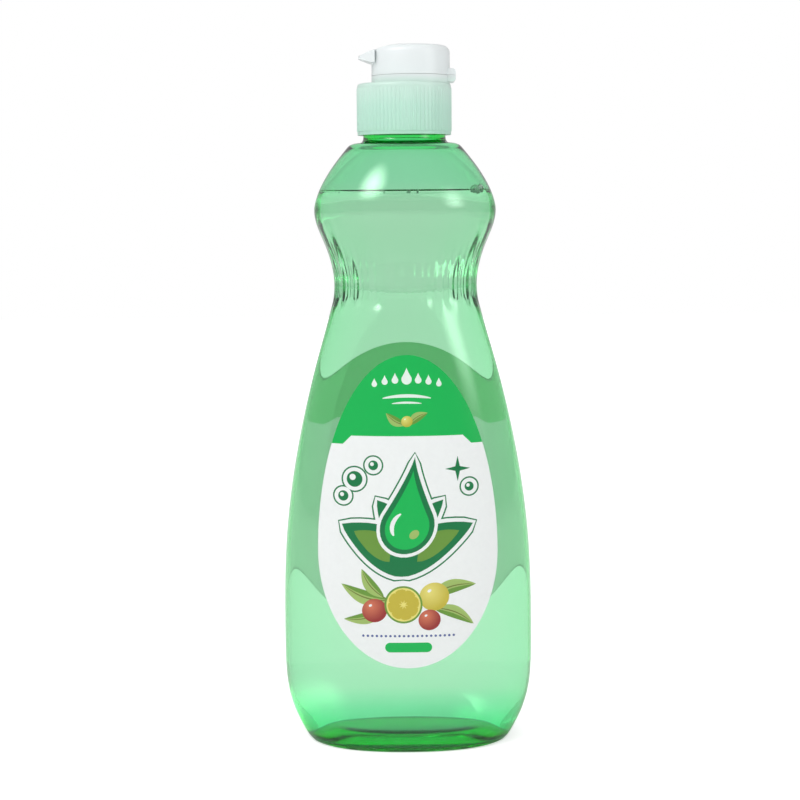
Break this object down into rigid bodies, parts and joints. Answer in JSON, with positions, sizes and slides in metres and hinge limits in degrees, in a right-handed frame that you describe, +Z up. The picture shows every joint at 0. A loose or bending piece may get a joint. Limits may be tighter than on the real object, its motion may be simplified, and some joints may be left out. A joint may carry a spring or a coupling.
{
  "type": "dish soap bottle",
  "caption": "Clear tinted squeeze bottle with a fluted waist, its filling, egg-shaped labels and a ribbed screw cap with a flip lid.",
  "frame": {"origin": "centre of the foot, on the surface the bottle stands on", "axes": "+Z up, -Y towards the front label, +X towards the hinge of the flip lid"},
  "size_m": [0.0854, 0.0572, 0.2363],
  "materials": {
    "bottle_plastic": "clear green-tinted blown plastic, glossy",
    "detergent": "clear pale green liquid",
    "seal_foam": "soft white foamed plastic",
    "cap_plastic": "natural milky translucent plastic, satin",
    "label_film": "printed film label, semi-gloss"
  },
  "bodies": {
    "bottle": {"bottle": "bottle_plastic", "detergent": "detergent", "front_label": "label_film", "rear_label": "label_film"},
    "seal": {"neck_seal": "seal_foam"},
    "cap": {"cap_body": "cap_plastic"},
    "lid": {"flip_lid": "cap_plastic"}
  },
  "joints": [
    {"name": "cap_rise", "type": "slide", "parent": "bottle", "child": "seal", "axis": [0, 0, 1], "range_m": [0, 0.00635]},
    {"name": "cap_turn", "type": "hinge", "parent": "seal", "child": "cap", "pos_m": [0, 0, 0.2139], "axis": [0, 0, 1], "range_deg": [0, 540]},
    {"name": "lid_hinge", "type": "hinge", "parent": "cap", "child": "lid", "pos_m": [0.0172, 0, 0.2264], "axis": [0, 1, 0], "range_deg": [0, 170]}
  ],
  "couplings": [
    {"joint": "cap_rise", "follows": "cap_turn", "m_per_rad": 0.0006737}
  ]
}
